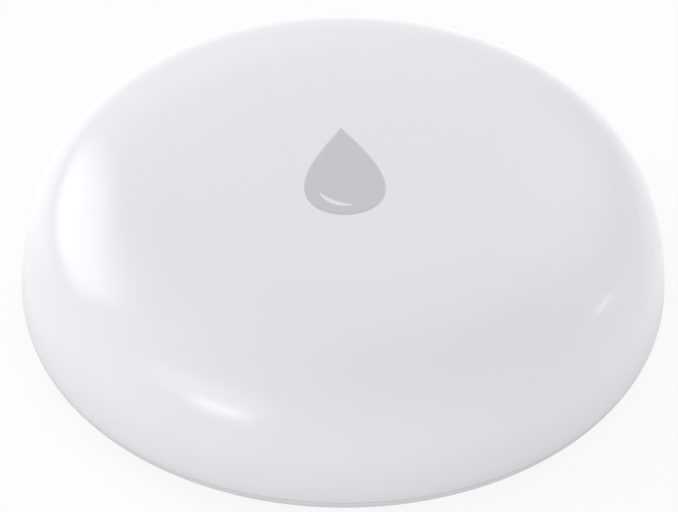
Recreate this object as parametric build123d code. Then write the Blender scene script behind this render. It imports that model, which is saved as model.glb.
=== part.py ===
from build123d import *
import os

# Water leak sensor: a pebble-shaped case with a coin cell, a push switch and two probes underneath.
# Millimetres, +Z up. The origin is the middle of the surface that the feet stand on.

# Outer form
body_radius = 25.0
body_height = 15.0
equator_height = 3.1
edge_reach = 2.1
foot_height = 0.5
wall = 1.5
crown_share = 0.77
shoulder_share = 0.98

# Shared values for cuts, joins and fits
overrun = 1.0
bite = 0.25
slack = 0.05
fit_gap = 0.02
side_gap = 0.2
search_share = 1e-7

# Parting line and press of the cover
parting_height = 2.0
press_travel = 0.25
boss_radius = 2.2
flexure_radius = 9.0
flexure_width = 2.0
flexure_depth = 0.4

# Rim wall of the base, with its seal groove
rim_wall = 1.5
rim_top = 6.2
seal_section = 1.0
seal_height = 4.9
seal_groove_share = 1.15

# Clips of the cover and the catches that hold them
clip_count = 4
clip_first_angle = 45.0
clip_width = 4.0
clip_thickness = 0.8
clip_gap = 0.1
barb_reach = 0.45
barb_height = 0.8
catch_reach = 0.7
catch_bottom = 3.4
catch_height = 0.9
catch_width = 5.0

# Feet
foot_inset = 1.1
foot_width = 1.3
foot_span = 50.0
foot_count = 4

# Battery door
door_thickness = 1.7
door_gap = 0.15
flange_thickness = 1.2
door_rim_chamfer = 0.25
skirt_wall = 0.9
skirt_height = 3.9
coin_radius = 12.5
coin_thickness = 1.9
coin_depth = 0.95

# Three-start thread of the door
start_count = 3
thread_lead = 7.2
thread_clearance = 0.2
thread_depth = 0.9
thread_side_gap = 0.1
ledge_height = 1.9
lug_height = 1.5
shelf_height = 2.5
shelf_thickness = 1.0

# Seal of the door
door_seal_section = 1.0
door_seal_inset = 0.6
door_seal_groove_width = 1.2
door_rim_width = 0.35

# Battery well
collar_wall = 1.2
neck_wall = 1.2
well_gap = 0.3
well_lip = 0.95
well_hold = 0.65
contact_slot_width = 3.6

# Coin cell, size 2032
cell_radius = 10.0
cell_height = 3.2
cell_gap = 0.25
can_sheet = 0.25
can_crimp = 0.7
gasket_wall = 0.35
cap_rise = 0.15
cap_edge = 0.5

# Circuit board
board_thickness = 1.0
contact_room_share = 0.24

# Board screws
screw_count = 3
screw_first_angle = 90.0
screw_boss_radius = 1.9
screw_radius = 0.75
screw_length = 4.0
screw_head_radius = 1.45
screw_head_height = 0.8
screw_hole_gap = 0.2
cross_width = 0.35
cross_length = 1.6
cross_depth = 0.4

# Probes
probe_land = 0.75
probe_head_radius = 2.2
probe_head_height = 0.9
probe_head_crown = 0.2
probe_head_gap = 0.2
probe_radius = 0.9
probe_reach = 6.4
probe_boss_radius = 3.0
probe_boss_top = 3.6
probe_seal_section = 0.75
post_radius = 1.6

# Ribs of the base
rib_angle = 20.0
rib_thickness = 0.9
rib_top = 3.6

# Push switch
switch_side = 6.0
switch_height_share = 0.61
switch_corner = 0.4
switch_plate_thickness = 0.3
switch_cavity_radius = 2.5
switch_cavity_share = 0.48
plunger_radius = 1.7
plunger_gap = 0.1
plunger_flange_radius = 2.2
plunger_flange_height = 0.5
plunger_lift = 0.42
snap_sheet = 0.12
snap_radius = 2.3
leg_width = 0.7
leg_sheet = 0.2
leg_reach = 1.0
leg_pitch = 4.5

# Contacts of the cell
contact_sheet = 0.2
contact_width = 3.0
contact_foot = 2.4
leaf_reach = 7.0
leaf_touch = 2.0

# Small parts on the board
radio_side = 5.0
radio_height = 0.85
radio_place_shares = (0.47, -0.33)
radio_dot_radius = 0.35
radio_dot_depth = 0.1
crystal_size = (3.2, 2.5, 0.7)
crystal_place_shares = (0.65, 0)
crystal_lid_inset = 0.25
crystal_lid_height = 0.15
capacitor_size = (3.5, 2.8, 1.9)
capacitor_chamfer = 0.2
capacitor_place_shares = (-0.55, -0.32)
led_size = (1.6, 1.6, 0.6)
led_place_shares = (0, -0.33)
led_lens_radius = 0.6
led_lens_height = 0.3
antenna_inset = 1.5
antenna_sheet = 0.4
antenna_height = 2.2
antenna_span = 56.0
antenna_middle_angle = 140.0
antenna_bar = 0.8
antenna_leg_span = 3.0
chip_size = (1.6, 0.8, 0.5)
chip_pitch = 1.7
chip_count = 5
resistor_place_shares = (0.46, 0.42)
ceramic_place_shares = (-0.57, 0.13)

def dome_points(skin):
    """Control points of the dome's curve, set in by a skin, from the crown down to the widest line."""
    radius = body_radius - skin
    height = body_height - skin
    shoulder = equator_height + (height - equator_height) * shoulder_share
    return [(0, height), (radius * crown_share, height), (radius, shoulder), (radius, equator_height)]


def curve_point(skin, place):
    """Radius and height of the dome's curve at a place from 0 at the crown to 1 at the widest line."""
    rest = 1 - place
    shares = [rest ** 3, 3 * rest ** 2 * place, 3 * rest * place ** 2, place ** 3]
    return [sum(share * point[axis] for share, point in zip(shares, dome_points(skin))) for axis in (0, 1)]


def dome_point(skin, passed):
    """First point of the dome's curve, from the crown down, that passes a test on its radius and height."""
    low = 0
    high = 1
    while high - low > search_share:
        middle = (low + high) / 2
        if passed(*curve_point(skin, middle)):
            high = middle
        else:
            low = middle
    return curve_point(skin, high)


def dome_height(radius, skin):
    """Height of the dome's curve, set in by a skin, at a radius."""
    return dome_point(skin, lambda reach, height: reach >= radius)[1]


def dome_radius(height, skin):
    """Radius of the dome's curve, set in by a skin, at a height."""
    return dome_point(skin, lambda reach, level: level <= height)[0]


# Places worked out from the sizes above
rim_gap = press_travel + slack
rim_outer_radius = dome_radius(rim_top + press_travel, wall) - side_gap
seal_outer_radius = dome_radius(seal_height + seal_section / 2 + press_travel, wall) - slack
rim_inner_radius = rim_outer_radius - rim_wall
catch_radius = rim_inner_radius - catch_reach
clip_outer_radius = catch_radius - clip_gap
clip_inner_radius = clip_outer_radius - clip_thickness
board_radius = clip_inner_radius - side_gap
door_floor = foot_height + door_thickness
flange_top = foot_height + flange_thickness
skirt_inner_radius = cell_radius + cell_gap
skirt_outer_radius = skirt_inner_radius + skirt_wall
lug_radius = skirt_outer_radius + thread_depth
neck_inner_radius = lug_radius + thread_side_gap
ledge_radius = skirt_outer_radius + thread_side_gap
ledge_bottom = shelf_height + slack
lug_bottom = ledge_bottom + (ledge_height - lug_height) / 2
neck_outer_radius = neck_inner_radius + neck_wall
door_seal_radius = neck_inner_radius + door_seal_inset + door_seal_section / 2
door_radius = door_seal_radius + door_seal_groove_width / 2 + door_rim_width
opening_radius = door_radius + door_gap
collar_radius = opening_radius + collar_wall
well_radius = cell_radius + well_gap
cell_bottom = door_floor + slack
cell_top = cell_bottom + cell_height
well_step = cell_top - well_hold
well_top = cell_top + well_lip
foot_outer_radius = body_radius - edge_reach - foot_inset
screw_circle_radius = (neck_outer_radius + board_radius) / 2
probe_offset = opening_radius + probe_land + probe_head_gap + probe_head_radius
boss_bottom = body_height - wall - slack
board_bottom = cell_top + contact_room_share * (boss_bottom - cell_top)
board_top = board_bottom + board_thickness
switch_height = switch_height_share * (boss_bottom - board_top)
switch_top = board_top + switch_height + switch_plate_thickness
cavity_floor = board_top + switch_height * (1 - switch_cavity_share)
plunger_bottom = cavity_floor + plunger_lift
plunger_top = boss_bottom - slack
turn_per_start = 360 / start_count
clear_angle = thread_clearance / thread_lead * 360
thread_span = turn_per_start / 2 - clear_angle


def board_spot(shares):
    """Place on the board, given as shares of its radius."""
    return [board_radius * share for share in shares]


def disc(radius, low, high):
    """Upright cylinder between two heights."""
    return Pos(0, 0, low) * extrude(Circle(radius), high - low)


def ring(outer, inner, low, high):
    """Upright tube between two heights."""
    return Pos(0, 0, low) * extrude(Circle(outer) - Circle(inner), high - low)


def block(size, place, low):
    """Upright block on a height, with its middle at a place."""
    length, width, height = size
    return Pos(place[0], place[1], low) * extrude(Rectangle(length, width), height)


def turned(*points):
    """Solid of revolution about Z of a closed outline in radius and height."""
    return revolve(make_face(Plane.XZ * Polyline(*points, close=True)), Axis.Z)


def o_ring(radius, section, middle):
    """Torus-shaped seal about Z."""
    return revolve(Plane.XZ * Pos(radius, middle) * Circle(section / 2), Axis.Z)


def around(count, first_angle):
    """Turns about Z that spread copies evenly."""
    return [Rot(0, 0, first_angle + turn * 360 / count) for turn in range(count)]


def sector(inner, outer, start, span):
    """Flat piece of a ring between two angles."""
    inside = CenterArc((0, 0), inner, start, span)
    outside = CenterArc((0, 0), outer, start, span)
    return make_face(inside + outside + Line(inside @ 0, outside @ 0) + Line(inside @ 1, outside @ 1))


def outer_form():
    """The whole outside of the closed case, without its feet."""
    dome = Bezier(*dome_points(0))
    centre = (body_radius - edge_reach, equator_height)
    edge = EllipticalCenterArc(centre, edge_reach, equator_height - foot_height, 270, arc_size=90)
    under = Line((body_radius - edge_reach, foot_height), (0, foot_height))
    axis = Line((0, foot_height), (0, body_height))
    return revolve(make_face(Plane.XZ * (dome + edge + under + axis)), Axis.Z)


def inner_form():
    """The hollow of the cover, open downwards."""
    points = dome_points(wall)
    radius = points[-1][0]
    rest = Polyline(points[-1], (radius, 0), (0, 0), points[0])
    return revolve(make_face(Plane.XZ * (Bezier(*points) + rest)), Axis.Z)


def thread(inner, outer, low, high, first_angle):
    """Thread of several starts between two radii: sectors that turn as they rise."""
    per_height = 360 / thread_lead
    turn = (high - low) * per_height
    start = first_angle + (low - ledge_bottom) * per_height
    starts = []
    for number in range(start_count):
        face = Pos(0, 0, low) * sector(inner, outer, start + number * turn_per_start, thread_span)
        rise = (0, 0, high - low)
        starts.append(Solid.extrude_linear_with_rotation(face.faces()[0], (0, 0, low), rise, turn))
    return starts


def top_cover():
    """Domed shell with the press boss, the thinned ring that lets its middle flex, and the clips."""
    cover = outer_form() - disc(body_radius + overrun, 0, parting_height + rim_gap)
    cover -= inner_form()
    groove_top = dome_height(flexure_radius, wall) + flexure_depth
    groove_outer = flexure_radius + flexure_width / 2
    groove_inner = flexure_radius - flexure_width / 2
    cover -= ring(groove_outer, groove_inner, board_top, groove_top)
    cover += disc(boss_radius, boss_bottom, body_height - wall / 2)
    top = (dome_height(clip_outer_radius, 0) + dome_height(clip_inner_radius, wall)) / 2
    barb_top = catch_bottom - slack
    arm_middle = (clip_outer_radius + clip_inner_radius) / 2
    arm_low = barb_top - barb_height
    arm = block((clip_thickness, clip_width, top - arm_low), (arm_middle, 0), arm_low)
    tip = clip_outer_radius + barb_reach
    outline = Polyline(
        (clip_inner_radius, arm_low), (clip_outer_radius, arm_low), (tip, barb_top - bite), (tip, barb_top),
        (clip_inner_radius, barb_top), close=True
    )
    barb = extrude(make_face(Plane.XZ * outline), clip_width / 2, both=True)
    for turn in around(clip_count, clip_first_angle):
        cover += turn * (arm + barb)
    return cover


def cover_seal():
    """Ring seal in the groove of the base's rim wall."""
    return o_ring(seal_outer_radius - seal_section / 2, seal_section, seal_height)


def base_plate():
    """Bottom of the case with its rounded edge and the feet, cut off at the parting line."""
    plate = outer_form() - disc(body_radius + overrun, parting_height, body_height + overrun)
    foot = sector(foot_outer_radius - foot_width, foot_outer_radius, -foot_span / 2, foot_span)
    for turn in around(foot_count, clip_first_angle):
        plate += turn * extrude(foot, foot_height + bite)
    return plate


def rim():
    """Wall that stands up inside the cover, with the seal groove and the catches for the clips."""
    groove = seal_section * seal_groove_share
    groove_floor = seal_outer_radius - seal_section - slack
    wall_ring = ring(rim_outer_radius, rim_inner_radius, parting_height - bite, rim_top)
    groove_low = seal_height - groove / 2
    wall_ring -= ring(rim_outer_radius + overrun, groove_floor, groove_low, groove_low + groove)
    length = catch_reach + bite
    catch = block((length, catch_width, catch_height), (catch_radius + length / 2, 0), catch_bottom)
    for turn in around(clip_count, clip_first_angle):
        wall_ring += turn * catch
    return wall_ring


def well():
    """Collar, neck and guide that take the door and the cell, without the thread."""
    outside = turned(
        (0, parting_height - bite), (collar_radius, parting_height - bite),
        (collar_radius, shelf_height + shelf_thickness), (neck_outer_radius, shelf_height + shelf_thickness),
        (neck_outer_radius, well_top), (0, well_top)
    )
    slot_length = neck_outer_radius - well_radius + 2 * bite
    slot = block(
        (slot_length, contact_slot_width, well_top - well_step),
        (well_radius - bite + slot_length / 2, 0), well_step + slack
    )
    return outside - Rot(0, 0, -screw_first_angle) * slot


def well_hollow():
    """Room for the door, its thread and the cell."""
    return turned(
        (0, 0), (opening_radius + door_rim_chamfer, 0), (opening_radius + door_rim_chamfer, foot_height),
        (opening_radius, foot_height + door_rim_chamfer), (opening_radius, shelf_height),
        (neck_inner_radius, shelf_height), (neck_inner_radius, well_step), (well_radius, well_step),
        (well_radius, well_top + overrun), (0, well_top + overrun)
    )


def screw_boss():
    """Boss on the base that carries the board and takes one screw."""
    boss = disc(screw_boss_radius, parting_height - bite, board_bottom)
    boss -= disc(screw_radius + fit_gap, board_bottom - screw_length, board_bottom + overrun)
    return Pos(screw_circle_radius, 0) * boss


def probe_recess():
    """Stepped hole for a probe's head, seal and shank."""
    head_top = probe_head_height + slack
    seal_top = head_top + probe_seal_section + slack
    seal_radius = probe_radius + probe_seal_section + 2 * slack
    head_radius = probe_head_radius + probe_head_gap
    return Pos(probe_offset, 0) * turned(
        (0, 0), (head_radius, 0), (head_radius, head_top), (seal_radius, head_top), (seal_radius, seal_top),
        (probe_radius + fit_gap, seal_top), (probe_radius + fit_gap, probe_boss_top + overrun),
        (0, probe_boss_top + overrun)
    )


def ribs():
    """Thin webs between the collar and the rim wall, in pairs beside the clips."""
    length = rim_inner_radius - collar_radius + 2 * bite
    rib = block(
        (length, rib_thickness, rib_top - parting_height + bite),
        (collar_radius - bite + length / 2, 0), parting_height - bite
    )
    webs = []
    for turn in around(clip_count, clip_first_angle):
        webs += [turn * Rot(0, 0, side * rib_angle) * rib for side in (-1, 1)]
    return webs


def base_shell():
    """Bottom half of the case: plate, rim wall, battery well, bosses and ribs."""
    base = base_plate() + rim() + well() + ribs()
    sides = around(2, 0)
    base += [turn * Pos(probe_offset, 0) * disc(probe_boss_radius, parting_height - bite, probe_boss_top)
             for turn in sides]
    base += [turn * screw_boss() for turn in around(screw_count, screw_first_angle)]
    base -= well_hollow()
    for turn in sides:
        base -= turn * probe_recess()
    base += thread(ledge_radius, neck_inner_radius + bite, ledge_bottom, ledge_bottom + ledge_height, 0)
    return base


def battery_door():
    """Round door with a coin slot, a flange that presses the seal, and a threaded skirt."""
    groove_inner = door_seal_radius - door_seal_groove_width / 2
    groove_outer = door_seal_radius + door_seal_groove_width / 2
    groove_floor = shelf_height - slack - door_seal_section - slack
    skirt_top = foot_height + skirt_height
    body = turned(
        (0, foot_height), (door_radius - door_rim_chamfer, foot_height),
        (door_radius, foot_height + door_rim_chamfer), (door_radius, flange_top), (groove_outer, flange_top),
        (groove_outer, groove_floor), (groove_inner, groove_floor), (groove_inner, flange_top),
        (skirt_outer_radius, flange_top), (skirt_outer_radius, skirt_top),
        (skirt_inner_radius, skirt_top), (skirt_inner_radius, door_floor), (0, door_floor)
    )
    coin_middle = foot_height + coin_depth - coin_radius
    coin = Plane.XZ * Pos(0, coin_middle) * Circle(coin_radius)
    body -= extrude(coin, coin_thickness / 2, both=True)
    lugs = thread(skirt_outer_radius - bite, lug_radius, lug_bottom, lug_bottom + lug_height,
                  thread_span + clear_angle)
    return body + lugs


def door_seal():
    """Ring seal between the door's flange and the shelf of the base."""
    return o_ring(door_seal_radius, door_seal_section, shelf_height - slack - door_seal_section / 2)


def cell_can():
    """Outer cup of the cell, with its edge crimped over the gasket."""
    can_top = cell_top - cap_rise
    inner = cell_radius - can_sheet
    mouth = cell_radius - can_crimp
    return turned(
        (0, cell_bottom), (inner, cell_bottom), (cell_radius, cell_bottom + can_sheet),
        (cell_radius, can_top - can_sheet), (inner, can_top), (mouth, can_top),
        (mouth, can_top - can_sheet), (inner, can_top - 2 * can_sheet),
        (inner, cell_bottom + can_sheet), (0, cell_bottom + can_sheet)
    )


def cell_gasket():
    """Plastic ring that keeps the cap apart from the can."""
    top = cell_top - cap_rise
    outer = cell_radius - can_crimp
    low = top - 2 * can_sheet
    return ring(outer, outer - gasket_wall, low, top)


def cell_cap():
    """Negative cap of the cell."""
    radius = cell_radius - can_crimp - gasket_wall
    low = cell_top - cap_rise - 2 * can_sheet
    return turned(
        (0, low), (radius, low), (radius, cell_top - cap_rise), (radius - cap_edge, cell_top), (0, cell_top)
    )


def cell_core():
    """Pressed filling of the cell."""
    return disc(cell_radius - can_sheet, cell_bottom + can_sheet, cell_top - cap_rise - 2 * can_sheet)


def circuit_board():
    """Round board on the screw bosses."""
    board = disc(board_radius, board_bottom, board_top)
    hole = disc(screw_radius + screw_hole_gap, board_bottom - overrun, board_top + overrun)
    for turn in around(screw_count, screw_first_angle):
        board -= turn * Pos(screw_circle_radius, 0) * hole
    return board


def board_screws():
    """Pan-head screws that hold the board."""
    head_top = board_top + screw_head_height
    screw = disc(screw_head_radius, board_top, head_top)
    screw = fillet(screw.edges().group_by(Axis.Z)[-1], screw_head_height / 2)
    screw += disc(screw_radius, board_bottom - screw_length + slack, board_top)
    for length, width in ((cross_length, cross_width), (cross_width, cross_length)):
        screw -= block((length, width, cross_depth + overrun), (0, 0), head_top - cross_depth)
    return Compound(children=[turn * Pos(screw_circle_radius, 0) * screw
                              for turn in around(screw_count, screw_first_angle)])


def probe():
    """Round-headed metal pin that feels the water, with its shank in the post."""
    head = turned(
        (0, 0), (probe_head_radius - probe_head_crown, 0), (probe_head_radius, probe_head_crown),
        (probe_head_radius, probe_head_height), (probe_radius, probe_head_height),
        (probe_radius, probe_reach), (0, probe_reach)
    )
    return Pos(probe_offset, 0) * head


def probe_seal():
    """Small ring seal above a probe's head."""
    reach = slack + probe_seal_section / 2
    seal = o_ring(probe_radius + reach, probe_seal_section, probe_head_height + reach)
    return Pos(probe_offset, 0) * seal


def probe_post():
    """Brass sleeve under the board that takes a probe's shank."""
    post = ring(post_radius, probe_radius + fit_gap, probe_boss_top, board_bottom)
    return Pos(probe_offset, 0) * post


def switch_base():
    """Moulded body of the push switch, with the well for its snap dome."""
    body = extrude(RectangleRounded(switch_side, switch_side, switch_corner), switch_height)
    return Pos(0, 0, board_top) * body - disc(switch_cavity_radius, cavity_floor, switch_top)


def switch_plate():
    """Metal plate that closes the switch round its plunger."""
    plate = extrude(RectangleRounded(switch_side, switch_side, switch_corner), switch_plate_thickness)
    hole = disc(plunger_radius + plunger_gap, 0, body_height)
    return Pos(0, 0, board_top + switch_height) * plate - hole


def switch_legs():
    """Four bent legs that are soldered to the board."""
    low = block((leg_reach, leg_width, leg_sheet), (switch_side / 2 + leg_reach / 2, 0), board_top)
    high = block((leg_sheet, leg_width, switch_height / 2), (switch_side / 2 + leg_sheet / 2, 0), board_top)
    leg = low + high
    places = [(turn, side) for turn in around(2, 0) for side in (-1, 1)]
    return Compound(children=[turn * Pos(0, side * leg_pitch / 2) * leg for turn, side in places])


def switch_dome():
    """Thin snap dome that clicks under the plunger."""
    rise = plunger_lift - snap_sheet - fit_gap
    lower = ThreePointArc((-snap_radius, cavity_floor), (0, cavity_floor + rise), (snap_radius, cavity_floor))
    upper = ThreePointArc(
        (-snap_radius, cavity_floor + snap_sheet), (0, cavity_floor + rise + snap_sheet),
        (snap_radius, cavity_floor + snap_sheet)
    )
    sheet = make_face(Plane.XZ * (lower + upper + Line(lower @ 0, upper @ 0) + Line(lower @ 1, upper @ 1)))
    half = sheet & Plane.XZ * Pos(snap_radius, cavity_floor) * Rectangle(2 * snap_radius, 2 * snap_radius)
    return revolve(half, Axis.Z)


def switch_plunger():
    """Round button of the switch, held by its flange under the plate."""
    return disc(plunger_radius, plunger_bottom, plunger_top) + disc(
        plunger_flange_radius, plunger_bottom, plunger_bottom + plunger_flange_height
    )


def negative_leaf():
    """Spring strip under the board that presses on the cell's cap."""
    top = board_bottom
    touch = cell_top + slack
    half_touch = leaf_touch / 2
    centre = Polyline(
        (leaf_reach, top - contact_sheet / 2), (leaf_reach - contact_foot, top - contact_sheet / 2),
        (half_touch, touch + contact_sheet / 2), (-half_touch, touch + contact_sheet / 2),
        (-leaf_touch, touch + contact_sheet * 2)
    )
    strip = make_face(Plane.XZ * offset(centre, contact_sheet / 2, side=Side.BOTH, kind=Kind.INTERSECTION))
    return extrude(strip, contact_width / 2, both=True)


def positive_clip():
    """Bent strip under the board that reaches down beside the cell's can."""
    inner = cell_radius + cell_gap / 2
    low = well_step + 2 * slack
    top = board_bottom
    leg = block((contact_sheet, contact_width, top - low), (inner + contact_sheet / 2, 0), low)
    foot_size = (contact_foot, contact_width, contact_sheet)
    foot = block(foot_size, (inner + contact_foot / 2, 0), top - contact_sheet)
    return Rot(0, 0, -screw_first_angle) * (leg + foot)


def radio_chip():
    """Flat radio chip with the dot that marks its first pin."""
    place = board_spot(radio_place_shares)
    chip = block((radio_side, radio_side, radio_height), place, board_top)
    corner = radio_side / 2 - 2 * radio_dot_radius
    top = board_top + radio_height
    dot = disc(radio_dot_radius, top - radio_dot_depth, top + overrun)
    return chip - Pos(place[0] - corner, place[1] + corner) * dot


def crystal():
    """Clock crystal with its raised lid."""
    place = board_spot(crystal_place_shares)
    length, width, height = crystal_size
    lid = (length - 2 * crystal_lid_inset, width - 2 * crystal_lid_inset, crystal_lid_height)
    return block(crystal_size, place, board_top) + block(lid, place, board_top + height)


def bulk_capacitor():
    """Block capacitor with chamfered upper edges."""
    body = block(capacitor_size, board_spot(capacitor_place_shares), board_top)
    return chamfer(body.edges().group_by(Axis.Z)[-1], capacitor_chamfer)


def status_led():
    """Small lamp with a round lens."""
    place = board_spot(led_place_shares)
    lens_low = board_top + led_size[2]
    lens = Pos(*place) * disc(led_lens_radius, lens_low, lens_low + led_lens_height)
    return block(led_size, place, board_top) + lens


def antenna():
    """Bent metal strip on two legs near the board's edge."""
    start = antenna_middle_angle - antenna_span / 2
    outer = board_radius - antenna_inset
    inner = outer - antenna_sheet
    bar_low = board_top + antenna_height - antenna_bar
    strip = Pos(0, 0, bar_low) * extrude(sector(inner, outer, start, antenna_span), antenna_bar)
    for angle in (start, start + 3 * antenna_leg_span):
        leg = sector(inner, outer, angle, antenna_leg_span)
        strip += Pos(0, 0, board_top) * extrude(leg, antenna_height)
    return strip


def chip_rows(place_shares, rows):
    """Rows of small oblong chips on the board."""
    place = board_spot(place_shares)
    turned_size = (chip_size[1], chip_size[0], chip_size[2])
    chips = []
    for row in range(rows):
        for number in range(chip_count):
            spot = (place[0] + (number - chip_count // 2) * chip_pitch, place[1] + row * 2 * chip_pitch)
            chips.append(block(turned_size, spot, board_top))
    return Compound(children=chips)


def write(name, shape):
    """Save one piece as its own file."""
    export_step(shape, f"parts/{name}.step")


os.makedirs("parts", exist_ok=True)
write("top_cover", top_cover())
write("cover_seal", cover_seal())
write("base_shell", base_shell())
write("battery_door", battery_door())
write("door_seal", door_seal())
write("cell_can", cell_can())
write("cell_gasket", cell_gasket())
write("cell_cap", cell_cap())
write("cell_core", cell_core())
write("circuit_board", circuit_board())
write("board_screws", board_screws())
for side_name, side_turn in zip(("right", "left"), around(2, 0)):
    write(f"probe_{side_name}", side_turn * probe())
    write(f"probe_seal_{side_name}", side_turn * probe_seal())
    write(f"probe_post_{side_name}", side_turn * probe_post())
write("switch_base", switch_base())
write("switch_plate", switch_plate())
write("switch_legs", switch_legs())
write("switch_dome", switch_dome())
write("switch_plunger", switch_plunger())
write("negative_leaf", negative_leaf())
write("positive_clip", positive_clip())
write("radio_chip", radio_chip())
write("crystal", crystal())
write("bulk_capacitor", bulk_capacitor())
write("status_led", status_led())
write("antenna", antenna())
write("chip_resistors", chip_rows(resistor_place_shares, 1))
write("chip_capacitors", chip_rows(ceramic_place_shares, 2))
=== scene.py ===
import logging
import math
from abc import ABC, abstractmethod
from dataclasses import dataclass
from enum import Enum
from typing import Callable, Dict, List, Optional, Sequence, Tuple, Union

import bmesh
import bpy
from mathutils import Matrix, Vector


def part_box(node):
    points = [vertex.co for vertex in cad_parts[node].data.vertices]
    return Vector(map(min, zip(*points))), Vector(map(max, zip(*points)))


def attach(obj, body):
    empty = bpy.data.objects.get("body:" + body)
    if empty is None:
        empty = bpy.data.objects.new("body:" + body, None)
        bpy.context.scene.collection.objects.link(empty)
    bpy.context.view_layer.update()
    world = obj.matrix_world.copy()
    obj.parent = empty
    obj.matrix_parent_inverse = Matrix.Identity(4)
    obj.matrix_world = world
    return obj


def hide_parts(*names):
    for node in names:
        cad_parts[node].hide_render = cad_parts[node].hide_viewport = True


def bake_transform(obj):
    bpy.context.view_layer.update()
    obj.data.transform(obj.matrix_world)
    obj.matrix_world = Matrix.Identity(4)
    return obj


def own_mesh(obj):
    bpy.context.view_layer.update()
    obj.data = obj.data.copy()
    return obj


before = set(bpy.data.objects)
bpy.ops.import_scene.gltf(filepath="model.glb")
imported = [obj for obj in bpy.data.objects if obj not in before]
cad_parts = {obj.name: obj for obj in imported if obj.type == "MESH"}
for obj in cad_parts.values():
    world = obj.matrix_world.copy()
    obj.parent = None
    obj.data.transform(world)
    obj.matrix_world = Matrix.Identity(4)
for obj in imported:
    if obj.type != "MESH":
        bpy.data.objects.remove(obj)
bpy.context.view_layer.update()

# Looks of a round water leak sensor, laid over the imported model. Metres, +Z up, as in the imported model.

Point = Tuple[float, float]
Triple = Tuple[float, float, float]
Number = Union[float, "Signal"]
Feed = Union[float, Sequence[float], "Signal"]
Operator = Callable[["Signal", Number], "Signal"]
Settings = Optional[Dict[str, str]]
Inputs = Optional[Dict[Union[int, str], Feed]]

MICRON = 1e-6
SAME_PLACE = 1e-8
WHITE = (1.0, 1.0, 1.0, 1.0)
log = logging.getLogger("leak_sensor")


def linear(red: float, green: float, blue: float) -> Triple:
    """Colour in scene values, from a colour in screen values of 0 to 255."""
    shares = [level / 255 for level in (red, green, blue)]
    return tuple(s / 12.92 if s <= 0.04045 else ((s + 0.055) / 1.055) ** 2.4 for s in shares)


def direction(azimuth: float, elevation: float) -> Vector:
    """Unit vector to a place on the sky: azimuth from +Y towards +X, elevation above the floor, in degrees."""
    turn, rise = math.radians(azimuth), math.radians(elevation)
    return Vector((math.sin(turn) * math.cos(rise), math.cos(turn) * math.cos(rise), math.sin(rise)))


def circle(count: int) -> List[float]:
    """Angles of a number of even steps round a circle."""
    return [2 * math.pi * k / count for k in range(count)]


def stand(name: str, data: bpy.types.ID) -> bpy.types.Object:
    """New object in the scene with a mesh, a lamp or a camera as its data."""
    made = bpy.data.objects.new(name, data)
    bpy.context.scene.collection.objects.link(made)
    return made


def both_forms(operation: str) -> Tuple[Operator, Operator]:
    """Makes the two forms of an operator of signals.

    Args:
        operation: Name of the Math node's operation.

    Returns:
        The form with the signal in front and the reflected one, with a number in front.
    """
    def plain(signal: "Signal", other: Number) -> "Signal":
        """Result with the signal in front."""
        return signal.graph.maths(operation, signal, other)

    def reflected(signal: "Signal", other: Number) -> "Signal":
        """Result with the number in front."""
        return signal.graph.maths(operation, other, signal)

    return plain, reflected


class Signal:
    """Output of a shader node, with arithmetic that adds its nodes to the tree."""

    __add__, __radd__ = both_forms("ADD")
    __sub__, __rsub__ = both_forms("SUBTRACT")
    __mul__, __rmul__ = both_forms("MULTIPLY")
    __truediv__, __rtruediv__ = both_forms("DIVIDE")
    __pow__, __rpow__ = both_forms("POWER")
    __mod__, __rmod__ = both_forms("FLOORED_MODULO")

    def __init__(self, graph: "Graph", socket: bpy.types.NodeSocket) -> None:
        """Keeps the graph and the socket."""
        self.graph = graph
        self.socket = socket

    def __abs__(self) -> "Signal":
        """Size without its sign."""
        return self.graph.maths("ABSOLUTE", self)

    def step(self, low: float, high: float, before: float = 0.0, after: float = 1.0) -> "Signal":
        """Smooth step between a low and a high value, from one result before it to another after it."""
        settings = {"interpolation_type": "SMOOTHSTEP"}
        return self.graph.pick("ShaderNodeMapRange", settings, {0: self, 1: low, 2: high, 3: before, 4: after})

    def swing(self, reach: float) -> "Signal":
        """Change to both sides of zero, half the reach each way, from a noise of 0 to 1."""
        return (self - 0.5) * reach


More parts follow.
